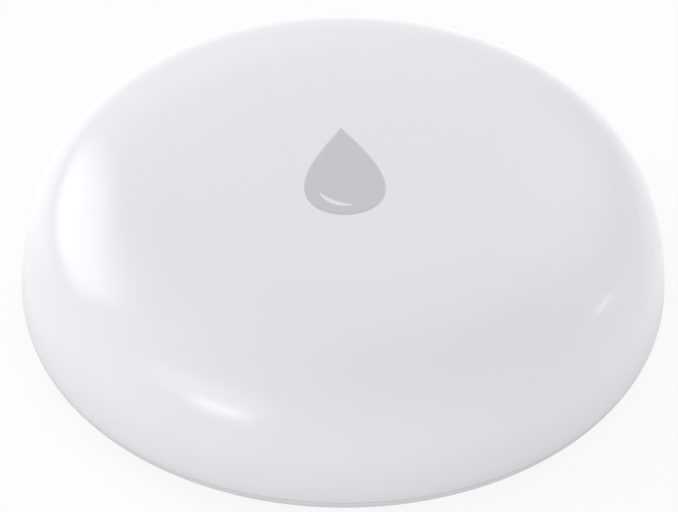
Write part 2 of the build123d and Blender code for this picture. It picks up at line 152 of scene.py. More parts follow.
class Graph:
    """Node tree of a material or of the world, with one way to add nodes."""

    def __init__(self, tree: bpy.types.NodeTree) -> None:
        """Empties the tree and keeps it."""
        tree.nodes.clear()
        self.tree = tree

    def node(self, kind: str, settings: Settings = None, inputs: Inputs = None) -> bpy.types.Node:
        """Adds a node.

        Args:
            kind: The node's type.
            settings: Its settings, set before its inputs.
            inputs: Values or signals for its sockets, by place or by name.

        Returns:
            The new node.
        """
        made = self.tree.nodes.new(kind)
        for name, value in (settings or {}).items():
            setattr(made, name, value)
        for name, value in (inputs or {}).items():
            if isinstance(value, Signal):
                self.tree.links.new(value.socket, made.inputs[name])
            else:
                made.inputs[name].default_value = value
        return made

    def pick(self, kind: str, settings: Settings = None, inputs: Inputs = None,
             output: Union[int, str] = 0) -> Signal:
        """Adds a node as node() does, and returns one of its outputs."""
        return Signal(self, self.node(kind, settings, inputs).outputs[output])

    def maths(self, operation: str, *values: Number) -> Signal:
        """Number worked out of numbers by one Math node."""
        return self.pick("ShaderNodeMath", {"operation": operation}, dict(enumerate(values)))

    def place(self) -> Signal:
        """Place on the piece, in metres, in the piece's own axes."""
        return self.pick("ShaderNodeTexCoord", output="Object")

    def split(self, vector: Signal) -> List[Signal]:
        """The three parts of a vector."""
        parts = self.node("ShaderNodeSeparateXYZ", inputs={0: vector})
        return [Signal(self, socket) for socket in parts.outputs]

    def join(self, x: Number, y: Number, z: Number) -> Signal:
        """Vector of three values."""
        return self.pick("ShaderNodeCombineXYZ", inputs={0: x, 1: y, 2: z})

    def measure(self, operation: str, *vectors: Feed) -> Signal:
        """Number worked out of vectors by one Vector Math node."""
        return self.pick("ShaderNodeVectorMath", {"operation": operation}, dict(enumerate(vectors)), "Value")

    def noise(self, vector: Signal, size: float, detail: float = 2.0, roughness: float = 0.5) -> Signal:
        """Soft noise of 0 to 1 with waves of a size, and finer waves of a number and strength laid over them."""
        inputs = {"Vector": vector, "Scale": 1 / size, "Detail": detail, "Roughness": roughness}
        return self.pick("ShaderNodeTexNoise", inputs=inputs)

    def mix(self, factor: Number, first: Triple, second: Triple) -> Signal:
        """Colour between two colours."""
        return self.pick("ShaderNodeMix", {"data_type": "RGBA"}, {0: factor, 6: (*first, 1.0), 7: (*second, 1.0)}, 2)

    def bump(self, height: Signal, depth: float) -> Signal:
        """Normal that follows a height of 0 to 1, which stands for a depth in metres."""
        return self.pick("ShaderNodeBump", inputs={"Height": height, "Distance": depth, "Strength": 1.0})

    def rays(self, *kinds: str) -> List[Signal]:
        """Whether the ray that asks is of each kind, as 1 or 0."""
        path = self.node("ShaderNodeLightPath")
        return [Signal(self, path.outputs[f"Is {kind} Ray"]) for kind in kinds]

    def glow(self, level: float) -> Signal:
        """Shader that gives off white light of a level."""
        return self.pick("ShaderNodeEmission", inputs={"Color": WHITE, "Strength": level})

    def between(self, factor: Number, first: Signal, second: Signal) -> Signal:
        """Shader between two shaders."""
        return self.pick("ShaderNodeMixShader", inputs={0: factor, 1: first, 2: second})


@dataclass(frozen=True)
class Finish(ABC):
    """Finish of a piece, which makes its material once, under a name that no slot of the record has."""

    name: str
    slot: Optional[str]
    colour: Triple

    @abstractmethod
    def paint(self, graph: Graph) -> Dict[str, Feed]:
        """Values and signals for the sockets of the surface shader."""

    def shade(self, gain: float, lift: float = 0.0) -> Triple:
        """The colour made brighter or darker by a gain, and lifted by a little grey."""
        return tuple(level * gain + lift for level in self.colour)

    def material(self) -> bpy.types.Material:
        """The material, made at the first call."""
        known = bpy.data.materials.get(self.name)
        if known:
            return known
        made = bpy.data.materials.new(self.name)
        made.use_nodes = True
        graph = Graph(made.node_tree)
        surface = graph.pick("ShaderNodeBsdfPrincipled", inputs=self.paint(graph))
        graph.node("ShaderNodeOutputMaterial", inputs={"Surface": surface})
        return made

    def dress(self, piece: bpy.types.Object) -> None:
        """Puts the material on a piece."""
        piece.data.materials.clear()
        piece.data.materials.append(self.material())


class Grain(Enum):
    """Surface that the mould or the tool leaves, as the size and depth of its grain in metres."""

    POLISHED = (0.0032, 1.4 * MICRON)
    SATIN = (0.00022, 5 * MICRON)
    SPARKED = (0.00034, 14 * MICRON)
    CAST = (0.0006, 10 * MICRON)


@dataclass(frozen=True)
class Moulding(Finish):
    """Moulded plastic or resin."""

    roughness: float
    grain: Grain
    coat: float = 0.0
    tone_spread: float = 0.02
    roughness_spread: float = 0.04
    glow: float = 0.0
    glow_reach: Triple = (0.0012, 0.0011, 0.001)
    cloud_size: float = 0.011
    cloud_roughness: float = 0.02
    coat_roughness: float = 0.4
    refraction: float = 1.5

    def paint(self, graph: Graph) -> Dict[str, Feed]:
        """Base colour with a faint cloud of tone, and the grain of the mould."""
        size, depth = self.grain.value
        place = graph.place()
        cloud = graph.noise(place, self.cloud_size, detail=3.0)
        fine = graph.noise(place, size, detail=3.0, roughness=0.6)
        return {
            "Base Color": graph.mix(cloud, self.shade(1 - 2 * self.tone_spread), self.colour),
            "Roughness": self.roughness + fine.swing(self.roughness_spread) + cloud.swing(self.cloud_roughness),
            "Normal": graph.bump(fine, depth),
            "IOR": self.refraction,
            "Coat Weight": self.coat,
            "Coat Roughness": self.roughness * self.coat_roughness,
            "Subsurface Weight": self.glow,
            "Subsurface Radius": self.glow_reach,
            "Subsurface Scale": 1.0,
        }


@dataclass(frozen=True)
class Rubber(Finish):
    """Soft dark rubber with a faint bloom."""

    roughness: float = 0.62
    roughness_spread: float = 0.12
    skin_size: float = 0.0003
    skin_depth: float = 4 * MICRON
    bloom_size: float = 0.004
    bloom_edges: Point = (0.45, 0.75)
    bloom_gain: float = 1.5
    bloom_lift: float = 0.01
    bloom_roughness: float = 0.06
    sheen: float = 0.1
    sheen_roughness: float = 0.4

    def paint(self, graph: Graph) -> Dict[str, Feed]:
        """Dark base with lighter bloom in patches and a dull, slightly uneven skin."""
        place = graph.place()
        bloom = graph.noise(place, self.bloom_size, detail=4.0, roughness=0.65).step(*self.bloom_edges)
        skin = graph.noise(place, self.skin_size)
        return {
            "Base Color": graph.mix(bloom, self.colour, self.shade(self.bloom_gain, self.bloom_lift)),
            "Roughness": self.roughness + skin.swing(self.roughness_spread) + bloom * self.bloom_roughness,
            "Normal": graph.bump(skin, self.skin_depth),
            "Sheen Weight": self.sheen,
            "Sheen Roughness": self.sheen_roughness,
        }


class Lay(Enum):
    """Way that the fine lines of a metal surface run."""

    TURNED = "rings about an upright axis"
    ROLLED = "straight lines along X"
    PLATED = "no lines, a soft unevenness"


@dataclass(frozen=True)
class Metal(Finish):
    """Bare or plated metal. Lengths of lines and plate are in widths of a line."""

    roughness: float
    lay: Lay
    axis: Point = (0.0, 0.0)
    line_width: float = 0.00012
    line_depth: float = 1.2 * MICRON
    line_length: float = 40.0
    line_roughness: float = 0.16
    plate_size: float = 5.0
    stain_size: float = 0.0035
    stain_edges: Point = (0.35, 0.7)
    stain_gain: float = 0.86
    stain_roughness: float = 0.08

    def paint(self, graph: Graph) -> Dict[str, Feed]:
        """Metal with the lines of its making and a little stain."""
        place = graph.place()
        lines = self._lines(graph, place)
        stain = graph.noise(place, self.stain_size, detail=3.0, roughness=0.6)
        return {
            "Base Color": graph.mix(stain.step(*self.stain_edges), self.shade(self.stain_gain), self.colour),
            "Metallic": 1.0,
            "Roughness": self.roughness + lines.swing(self.line_roughness) + stain.swing(self.stain_roughness),
            "Normal": graph.bump(lines, self.line_depth),
        }

    def _lines(self, graph: Graph, place: Signal) -> Signal:
        """Noise drawn out along the lay, of 0 to 1."""
        x, y, z = graph.split(place)
        width = self.line_width
        if self.lay is Lay.TURNED:
            across, along = x - self.axis[0], y - self.axis[1]
            vector = graph.join((across * across + along * along) ** 0.5 / width, z / width, 0.0)
        elif self.lay is Lay.ROLLED:
            vector = graph.join(x / (width * self.line_length), y / width, z / width)
        else:
            scale = 1 / (width * self.plate_size)
            vector = graph.pick("ShaderNodeVectorMath", {"operation": "SCALE"}, {0: place, "Scale": scale})
        return graph.noise(vector, 1.0)


@dataclass(frozen=True)
class SolderMask(Finish):
    """Glass laminate with tracks under a green solder mask. Edges of tracks are in shares of their pitch."""

    track_colour: Triple
    pitch: float = 0.0009
    block: float = 0.0054
    turn_edges: Point = (0.4, 0.6)
    bare_edges: Point = (0.35, 0.5)
    track_edges: Point = (0.16, 0.2)
    track_height: float = 0.8
    track_roughness: float = 0.05
    weave_size: float = 0.0004
    weave_roughness: float = 0.1
    depth: float = 18 * MICRON
    roughness: float = 0.3
    coat: float = 0.4
    coat_roughness: float = 0.2

    def paint(self, graph: Graph) -> Dict[str, Feed]:
        """Mask that is lighter and higher over tracks, which turn from block to block."""
        place = graph.place()
        x, y, _ = graph.split(place)
        column, row = (graph.maths("FLOOR", side / self.block) for side in (x, y))
        turned = ((column + row) % 2.0).step(*self.turn_edges)
        tracked = graph.noise(graph.join(column, row, 0.0), 1.0, detail=0.0).step(*self.bare_edges)
        run = (x + y) * (1 - turned) + (x - y) * turned
        wave = abs((run / self.pitch) % 1.0 - 0.5)
        track = wave.step(*self.track_edges, 1.0, 0.0) * tracked
        weave = graph.noise(place, self.weave_size, detail=1.0)
        height = track * self.track_height + weave * (1 - self.track_height)
        return {
            "Base Color": graph.mix(track, self.colour, self.track_colour),
            "Roughness": self.roughness + weave.swing(self.weave_roughness) - track * self.track_roughness,
            "Normal": graph.bump(height, self.depth),
            "Coat Weight": self.coat,
            "Coat Roughness": self.coat_roughness,
        }


@dataclass(frozen=True)
class TinnedChips(Finish):
    """Row of small chips whose two ends are tinned."""

    middles: Tuple[float, ...]
    half_body: float = 0.0005
    tin: Triple = (0.62, 0.61, 0.58)
    tin_edge: float = 0.00004
    tin_height: float = 0.3
    tin_roughness: float = 0.12
    grain_size: float = 0.00015
    grain_roughness: float = 0.2
    depth: float = 8 * MICRON
    roughness: float = 0.45

    def paint(self, graph: Graph) -> Dict[str, Feed]:
        """Body colour between the ends, and tin at each end along Y."""
        place = graph.place()
        _, y, _ = graph.split(place)
        reach, *others = (abs(y - middle) for middle in self.middles)
        for other in others:
            reach = graph.maths("MINIMUM", reach, other)
        end = reach.step(self.half_body, self.half_body + self.tin_edge)
        grain = graph.noise(place, self.grain_size)
        return {
            "Base Color": graph.mix(end, self.colour, self.tin),
            "Metallic": end,
            "Roughness": self.roughness + grain.swing(self.grain_roughness) - end * self.tin_roughness,
            "Normal": graph.bump(grain + end * self.tin_height, self.depth),
        }


@dataclass(frozen=True)
class PressedPowder(Finish):
    """Dark pressed filling of the cell."""

    speck_size: float = 0.0002
    speck_edges: Point = (0.4, 0.8)
    speck_gain: float = 2.2
    depth: float = 25 * MICRON
    roughness: float = 0.85
    roughness_spread: float = 0.1

    def paint(self, graph: Graph) -> Dict[str, Feed]:
        """Dark, coarse and dull."""
        speck = graph.noise(graph.place(), self.speck_size, detail=4.0, roughness=0.7)
        return {
            "Base Color": graph.mix(speck.step(*self.speck_edges), self.colour, self.shade(self.speck_gain)),
            "Roughness": self.roughness + speck.swing(self.roughness_spread),
            "Normal": graph.bump(speck, self.depth),
        }


class Finishes:
    """All finishes of the sensor."""

    cover = Moulding("cover_polish", "cover_gloss", linear(239, 240, 244), 0.2, Grain.POLISHED,
                     tone_spread=0.004, roughness_spread=0.015)
    base = Moulding("base_matt", "base_white", linear(238, 239, 243), 0.46, Grain.SATIN, tone_spread=0.012)
    door = Moulding("door_matt", "door_white", linear(227, 228, 233), 0.42, Grain.SPARKED, tone_spread=0.014)
    mark = Moulding("mark_ink", None, linear(203, 204, 209), 0.3, Grain.SATIN, coat=0.3,
                    tone_spread=0.004, roughness_spread=0.03)
    seal = Rubber("rubber_skin", "seal_rubber", linear(46, 46, 48))
    board = SolderMask("solder_mask", "board_green", linear(20, 92, 58), linear(34, 126, 80))
    screws = Metal("screw_steel", "steel", (0.66, 0.66, 0.67), 0.3, Lay.PLATED)
    cell = Metal("cell_nickel", "nickel", (0.71, 0.70, 0.67), 0.26, Lay.TURNED)
    sheet = Metal("sheet_nickel", "nickel", (0.73, 0.72, 0.68), 0.28, Lay.ROLLED)
    spring = Metal("spring_steel", "steel", (0.68, 0.68, 0.69), 0.22, Lay.PLATED)
    brass = Metal("turned_brass", "brass", (0.78, 0.60, 0.28), 0.26, Lay.TURNED)
    solder = Metal("solder", "nickel", (0.70, 0.70, 0.70), 0.3, Lay.PLATED)
    resin = Moulding("black_resin", "chip_black", (0.032, 0.032, 0.037), 0.5, Grain.CAST, tone_spread=0.1)
    capacitor = Moulding("yellow_resin", "capacitor_yellow", (0.72, 0.42, 0.07), 0.42, Grain.CAST, tone_spread=0.05)
    lamp = Moulding("lamp_resin", "lamp_clear", (0.82, 0.82, 0.76), 0.2, Grain.POLISHED, coat=0.5,
                    roughness_spread=0.02, glow=0.4)
    switch = Moulding("switch_resin", "switch_black", (0.05, 0.05, 0.055), 0.4, Grain.SATIN, tone_spread=0.08)
    button = Moulding("button_resin", "button_blue", (0.12, 0.20, 0.42), 0.36, Grain.SATIN, tone_spread=0.05)
    gasket = Moulding("nylon", "gasket_grey", (0.42, 0.42, 0.43), 0.5, Grain.SATIN, tone_spread=0.04)
    paste = PressedPowder("pressed_paste", "cell_paste", (0.06, 0.06, 0.065))
    resistors = TinnedChips("resistor_chips", "chip_black", (0.035, 0.035, 0.04), (0.00829,))
    ceramics = TinnedChips("ceramic_chips", "ceramic", (0.46, 0.33, 0.22), (0.00257, 0.00597))

    @staticmethod
    def probe(side: str, offset: float) -> Metal:
        """Turned steel of a probe, with its rings about the probe's own axis."""
        return Metal(f"probe_steel_{side}", "steel", (0.70, 0.70, 0.71), 0.24, Lay.TURNED, (offset, 0.0))


class Outline:
    """Outline in radius and height, with rounded corners."""

    side_share = 0.49

    def __init__(self) -> None:
        """Starts with no points."""
        self.corners: List[Tuple[Point, float]] = []

    def run(self, points: Sequence[Point]) -> "Outline":
        """Adds points of a smooth curve."""
        self.corners += [(point, 0.0) for point in points]
        return self

    def corner(self, radius: float, height: float, rounding: float = 0.0) -> "Outline":
        """Adds a corner with a rounding."""
        self.corners.append(((radius, height), rounding))
        return self

    def points(self, steps: int = 5) -> List[Point]:
        """The outline's points, with each rounded corner as a short curve.

        Args:
            steps: Number of pieces of each rounding.

        Returns:
            Points in radius and height.
        """
        found: List[Point] = []
        count = len(self.corners)
        for index, (point, rounding) in enumerate(self.corners):
            if not rounding:
                found.append(point)
                continue
            here = Vector(point)
            before = Vector(self.corners[index - 1][0]) - here
            after = Vector(self.corners[(index + 1) % count][0]) - here
            start = here + before.normalized() * min(rounding, before.length * self.side_share)
            end = here + after.normalized() * min(rounding, after.length * self.side_share)
            for part in range(steps + 1):
                share = part / steps
                bend = start * (1 - share) ** 2 + here * 2 * share * (1 - share) + end * share ** 2
                found.append((bend.x, bend.y))
        return found


class Bench:
    """Makes meshes and puts them in the scene."""

    @staticmethod
    def piece(name: str, mesh: bmesh.types.BMesh, crease: float = 30.0) -> bpy.types.Object:
        """Turns a working mesh into a piece, smooth but for its creases.

        Args:
            name: Name of the piece.
            mesh: Working mesh, which is used up.
            crease: Angle in degrees from which an edge is sharp.

        Returns:
            The new object, in the scene.
        """
        bmesh.ops.remove_doubles(mesh, verts=mesh.verts, dist=SAME_PLACE)
        bmesh.ops.recalc_face_normals(mesh, faces=mesh.faces)
        Bench.soften(mesh, crease)
        data = bpy.data.meshes.new(name)
        mesh.to_mesh(data)
        mesh.free()
        return stand(name, data)

    @staticmethod
    def soften(mesh: bmesh.types.BMesh, crease: float) -> None:
        """Makes faces smooth and edges sharper than an angle in degrees sharp."""
        limit = math.radians(crease)
        for face in mesh.faces:
            face.smooth = True
        for edge in mesh.edges:
            edge.smooth = edge.is_manifold and edge.calc_face_angle(0.0) < limit

    @staticmethod
    def join_rings(mesh: bmesh.types.BMesh, rings: Sequence[List[bmesh.types.BMVert]]) -> None:
        """Joins each ring of points to the next one with faces."""
        for low, high in zip(rings, rings[1:]):
            for k, point in enumerate(low):
                after = (k + 1) % len(low)
                mesh.faces.new([point, high[k], high[after], low[after]])

    @staticmethod
    def lathe(outline: Sequence[Point], segments: int) -> bmesh.types.BMesh:
        """Turns an outline about Z.

        Args:
            outline: Points in radius and height; a radius of zero is a point on the axis.
            segments: Number of steps round the axis.

        Returns:
            The working mesh.
        """
        mesh = bmesh.new()
        turns = [(math.cos(angle), math.sin(angle)) for angle in circle(segments)]
        rings = []
        for radius, height in outline:
            spots = turns if radius > SAME_PLACE else [(0.0, 0.0)]
            rings.append([mesh.verts.new((radius * c, radius * s, height)) for c, s in spots])
        for low, high in zip(rings, rings[1:]):
            for k in range(segments):
                corners = [ring[spot % len(ring)] for ring, spot in ((low, k), (low, k + 1), (high, k + 1), (high, k))]
                mesh.faces.new(list(dict.fromkeys(corners)))
        return mesh

    @staticmethod
    def prism(outline: Sequence[Point], width: float) -> bmesh.types.BMesh:
        """Upright plate: an outline in X and Z, given a width along Y about the middle."""
        mesh = bmesh.new()
        sides = [[mesh.verts.new((x, side * width / 2, z)) for x, z in outline] for side in (-1, 1)]
        mesh.faces.new(sides[0])
        mesh.faces.new(sides[1][::-1])
        Bench.join_rings(mesh, sides)
        return mesh

    @staticmethod
    def unite(body: bpy.types.Object, parts: Sequence[bpy.types.Object], crease: float) -> None:
        """Joins closed parts to a body and applies the result.

        Args:
            body: Piece that stays.
            parts: Pieces that are joined to it and then deleted.
            crease: Angle in degrees from which an edge of the result is sharp.
        """
        for part in parts:
            union = body.modifiers.new("union", "BOOLEAN")
            union.operation = "UNION"
            union.solver = "EXACT"
            union.object = part
        evaluated = body.evaluated_get(bpy.context.evaluated_depsgraph_get())
        data = bpy.data.meshes.new_from_object(evaluated)
        body.modifiers.clear()
        body.data = data
        mesh = bmesh.new()
        mesh.from_mesh(data)
        Bench.soften(mesh, crease)
        mesh.to_mesh(data)
        mesh.free()
        for part in parts:
            bpy.data.objects.remove(part)


@dataclass
class CoverDome:
    """Domed cover with its rim, flexing ring, press boss and clips."""

    radius: float = 0.025
    height: float = 0.01498
    equator: float = 0.0031
    edge_reach: float = 0.0021
    foot: float = 0.0005
    rim: float = 0.00202
    wall: float = 0.0015
    crown_share: float = 0.77
    shoulder_share: float = 0.98
    groove_outer: float = 0.010
    groove_inner: float = 0.008
    groove_depth: float = 0.0004
    boss_radius: float = 0.0022
    boss_bottom: float = 0.01345
    lip_rounding: float = 0.00005
    inner_rounding: float = 0.0003
    clip_inner: float = 0.01994
    clip_outer: float = 0.02074
    clip_width: float = 0.004
    barb_tip: float = 0.02119
    barb_low: float = 0.00255
    barb_top: float = 0.00335
    barb_lead: float = 0.00025
    clip_rounding: float = 0.0001
    barb_rounding: float = 0.00008
    barb_edge: float = 0.00006
    clip_angles: Tuple[float, ...] = (45.0, 135.0, 225.0, 315.0)
    lip_start: float = 1.5
    groove_room: float = 0.012
    boss_room: float = 0.006
    segments: int = 256
    samples: int = 90
    inner_samples: int = 45
    middle_samples: int = 15
    rim_steps: int = 6
    clip_steps: int = 3
    halvings: int = 40
    crease: float = 24.0

    def curve(self, skin: float, place: float) -> Point:
        """Point of the dome's curve, set in by a skin, at a place of 0 at the crown to 1 at the widest line."""
        reach, top = self.radius - skin, self.height - skin
        shoulder = self.equator + (top - self.equator) * self.shoulder_share
        control = [Vector(p) for p in ((0, top), (reach * self.crown_share, top), (reach, shoulder),
                                       (reach, self.equator))]
        rest = 1 - place
        shares = (rest ** 3, 3 * rest ** 2 * place, 3 * rest * place ** 2, place ** 3)
        point = sum((c * s for c, s in zip(control, shares)), Vector((0.0, 0.0)))
        return point.x, point.y

    def place_of(self, skin: float, reach: float) -> float:
        """Place on the curve at which it first comes to a radius."""
        low, high = 0.0, 1.0
        for _ in range(self.halvings):
            middle = (low + high) / 2
            low, high = (low, middle) if self.curve(skin, middle)[0] >= reach else (middle, high)
        return high

    def height_at(self, reach: float) -> float:
        """Height of the outer surface at a radius."""
        return self.curve(0.0, self.place_of(0.0, reach))[1]

    def stretch(self, skin: float, start: float, end: float, count: int) -> List[Point]:
        """Points of the curve between two places."""
        return [self.curve(skin, start + (end - start) * k / count) for k in range(count + 1)]

    def outline(self) -> List[Point]:
        """Outline of the wall from the crown round the rim to the middle of the boss."""
        drop = self.equator - self.foot
        last = math.asin((self.equator - self.rim - self.lip_rounding * self.lip_start) / drop)
        centre = self.radius - self.edge_reach
        turns = [last * k / self.rim_steps for k in range(1, self.rim_steps + 1)]
        edge = [(centre + self.edge_reach * math.cos(turn), self.equator - drop * math.sin(turn)) for turn in turns]
        share = (self.equator - self.rim) / drop
        tip = centre + self.edge_reach * math.sqrt(1 - share ** 2)
        groove_start = self.place_of(self.wall, self.groove_outer)
        groove_end = self.place_of(self.wall, self.groove_inner)
        groove_middle = self.place_of(self.wall, (self.groove_outer + self.groove_inner) / 2)
        groove_top = self.curve(self.wall, groove_middle)[1] + self.groove_depth
        boss = self.place_of(self.wall, self.boss_radius)
        line = Outline().run(self.stretch(0.0, 0.0, 1.0, self.samples)).run(edge)
        for reach in (tip, self.radius - self.wall):
            line.corner(reach, self.rim, self.lip_rounding)
        line.run(self.stretch(self.wall, 1.0, groove_start + self.groove_room, self.inner_samples))
        for spot in (self.curve(self.wall, groove_start), (self.groove_outer, groove_top),
                     (self.groove_inner, groove_top), self.curve(self.wall, groove_end)):
            line.corner(*spot, self.inner_rounding)
        line.run(self.stretch(self.wall, groove_end - self.groove_room, boss + self.boss_room, self.middle_samples))
        line.corner(*self.curve(self.wall, boss)).corner(self.boss_radius, self.boss_bottom)
        return line.corner(0.0, self.boss_bottom).points()

    def clip(self, angle: float) -> bpy.types.Object:
        """One clip, as a closed piece: an arm down from the skin with a barb, at an angle in degrees."""
        outer = self.height_at(self.clip_outer)
        top = (outer + self.curve(self.wall, self.place_of(self.wall, self.clip_inner))[1]) / 2
        profile = Outline()
        for reach, height, rounding in (
                (self.clip_inner, self.barb_low, self.clip_rounding),
                (self.clip_outer, self.barb_low, self.clip_rounding),
                (self.barb_tip, self.barb_top - self.barb_lead, self.barb_rounding),
                (self.barb_tip, self.barb_top, self.barb_edge), (self.clip_outer, self.barb_top, self.barb_edge),
                (self.clip_outer, top, 0.0), (self.clip_inner, top, 0.0)):
            profile.corner(reach, height, rounding)
        mesh = Bench.prism(profile.points(self.clip_steps), self.clip_width)
        turn = Matrix.Rotation(math.radians(angle), 4, "Z")
        bmesh.ops.transform(mesh, matrix=turn, verts=mesh.verts)
        return Bench.piece(f"clip_{angle:.0f}", mesh)

    def build(self) -> bpy.types.Object:
        """Builds the cover and joins its clips to it."""
        cover = Bench.piece("cover_dome", Bench.lathe(self.outline(), self.segments), self.crease)
        Bench.unite(cover, [self.clip(angle) for angle in self.clip_angles], self.crease)
        return cover

    def dress(self, cover: bpy.types.Object) -> None:
        """Gives the cover its finish and hides the imported cover that it stands in for."""
        Finishes.cover.dress(cover)
        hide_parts("top_cover")
        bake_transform(cover)


@dataclass
class CrownMark:
    """Plain drop on the crown that shows what the sensor is for, with a thin glint in it."""

    dome: CoverDome
    width: float = 0.0063
    length: float = 0.0106
    middle: Point = (0.0, -0.0006)
    turn: float = 2.5
    rise: float = 14 * MICRON
    depth: float = 40 * MICRON
    fullness: float = 1.25
    steps: int = 120
    rings: int = 10
    fan: Point = (0.0, -0.0014)
    edge_share: float = 0.994
    edge_rise: float = 0.4
    glint_middle: float = -0.0019
    glint_start: float = 196.0
    glint_turn: float = 92.0
    glint_radius: float = 0.0021
    glint_stretch: float = 1.12
    glint_width: float = 0.00042
    glint_taper: float = 0.7
    glint_rise: float = 1.9
    glint_steps: int = 40
    glint_parts: int = 4
    crease: float = 40.0

    def spot(self, x: float, y: float, rise: float) -> Triple:
        """Place on the dome of a point of the mark, lifted by a rise."""
        angle = math.radians(self.turn)
        px = self.middle[0] + x * math.cos(angle) - y * math.sin(angle)
        py = self.middle[1] + x * math.sin(angle) + y * math.cos(angle)
        return px, py, self.dome.height_at(math.hypot(px, py)) + rise

    def shape(self) -> List[Point]:
        """Outline of the drop in metres, with its tip at +Y."""
        angles = circle(self.steps)
        spans = [math.sin(angle) * math.sin(angle / 2) ** self.fullness for angle in angles]
        widest = max(abs(span) for span in spans)
        return [(span / widest * self.width / 2, math.cos(angle) / 2 * self.length)
                for span, angle in zip(spans, angles)]

    def crescent(self) -> List[List[Point]]:
        """Thin crescent in the lower part of the drop, as lines of points from its outer to its inner side."""
        lines = []
        for k in range(self.glint_steps + 1):
            share = k / self.glint_steps
            angle = math.radians(self.glint_start + self.glint_turn * share)
            thick = self.glint_width * math.sin(math.pi * share) ** self.glint_taper + MICRON
            insets = [thick * part / self.glint_parts for part in range(self.glint_parts + 1)]
            lines.append([((self.glint_radius - inset) * math.cos(angle),
                           self.glint_middle + (self.glint_radius * self.glint_stretch - inset) * math.sin(angle))
                          for inset in insets])
        return lines

    def build(self) -> List[bpy.types.Object]:
        """Builds the drop and its glint as thin pieces that follow the dome."""
        shares = [k / self.rings for k in range(1, self.rings)]
        layers = [(share, self.rise) for share in shares] + [(self.edge_share, self.rise)]
        layers += [(1.0, self.rise * self.edge_rise), (1.0, -self.depth)]
        layers += [(share, -self.depth) for share in reversed(shares)]
        mesh = bmesh.new()
        top, bottom = (mesh.verts.new(self.spot(*self.fan, rise)) for rise in (self.rise, -self.depth))
        outline, (mid_x, mid_y) = self.shape(), self.fan
        loops = [[mesh.verts.new(self.spot(mid_x + (x - mid_x) * share, mid_y + (y - mid_y) * share, rise))
                  for x, y in outline] for share, rise in layers]
        Bench.join_rings(mesh, loops)
        for k in range(self.steps):
            after = (k + 1) % self.steps
            mesh.faces.new([top, loops[0][k], loops[0][after]])
            mesh.faces.new([bottom, loops[-1][after], loops[-1][k]])
        return [Bench.piece("crown_drop", mesh, self.crease), self.glint()]

    def glint(self) -> bpy.types.Object:
        """Builds the crescent as a thin closed piece just above the drop."""
        mesh, lines = bmesh.new(), self.crescent()
        upper, lower = ([[mesh.verts.new(self.spot(x, y, rise)) for x, y in line] for line in lines]
                        for rise in (self.rise * self.glint_rise, -self.depth))
        Bench.join_rings(mesh, [above + below[::-1] for above, below in zip(upper, lower)])
        for above, below in ((upper[0], lower[0]), (upper[-1], lower[-1])):
            for part in range(self.glint_parts):
                mesh.faces.new([above[part], above[part + 1], below[part + 1], below[part]])
        return Bench.piece("crown_glint", mesh, self.crease)

    def dress(self, pieces: List[bpy.types.Object]) -> None:
        """Gives the drop and the glint their finishes and lets them ride on the crown."""
        drop, glint = pieces
        Finishes.mark.dress(drop)
        Finishes.cover.dress(glint)
        for piece in pieces:
            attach(piece, "cover")


@dataclass
class PackedPieces:
    """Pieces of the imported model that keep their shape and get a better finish."""

    probe_offset: float = 0.0175

    def finishes(self) -> Dict[str, Finish]:
        """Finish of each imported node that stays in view."""
        groups = (
            (Finishes.base, "base_shell"), (Finishes.door, "battery_door"), (Finishes.board, "circuit_board"),
            (Finishes.seal, "cover_seal door_seal probe_seal_right probe_seal_left"),
            (Finishes.probe("right", self.probe_offset), "probe_right"),
            (Finishes.probe("left", -self.probe_offset), "probe_left"),
            (Finishes.brass, "probe_post_right probe_post_left"), (Finishes.cell, "cell_can cell_cap"),
            (Finishes.gasket, "cell_gasket"), (Finishes.paste, "cell_core"), (Finishes.screws, "board_screws"),
            (Finishes.switch, "switch_base"), (Finishes.button, "switch_plunger"), (Finishes.resin, "radio_chip"),
            (Finishes.sheet, "switch_plate switch_legs negative_leaf positive_clip crystal antenna"),
            (Finishes.capacitor, "bulk_capacitor"), (Finishes.lamp, "status_led"),
            (Finishes.resistors, "chip_resistors"), (Finishes.ceramics, "chip_capacitors"),
        )
        return {name: finish for finish, names in groups for name in names.split()}

    def dress(self) -> None:
        """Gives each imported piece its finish."""
        for name, finish in self.finishes().items():
            finish.dress(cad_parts[name])
            log.info("%s: %s", name, finish.name)


@dataclass
class SnapDome:
    """Thin snap dome under the switch's plunger, which flattens when the cover is pressed."""

    floor: float = 0.0
    reach: float = 0.0023
    sheet: float = 0.00012
    rise: float = 0.00028
    keep: float = 0.37
    steps: int = 16
    segments: int = 64
    crease: float = 35.0

    def build(self) -> bpy.types.Object:
        """Builds the dome as a thin bent sheet on its rim."""
        low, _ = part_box("switch_dome")
        self.floor = low[2]
        curve = [(self.reach * k / self.steps, self.rise * (1 - (k / self.steps) ** 2))
                 for k in range(self.steps + 1)]
        under = [(r, self.floor + z) for r, z in curve]
        over = [(r, self.floor + z + self.sheet) for r, z in reversed(curve)]
        return Bench.piece("snap_dome", Bench.lathe(under + over, self.segments), self.crease)

    def dress(self, dome: bpy.types.Object) -> None:
        """Gives the dome its finish, hides the imported dome and hangs the new one on the base."""
        Finishes.spring.dress(dome)
        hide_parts("switch_dome")
        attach(dome, "base")
        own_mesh(dome)


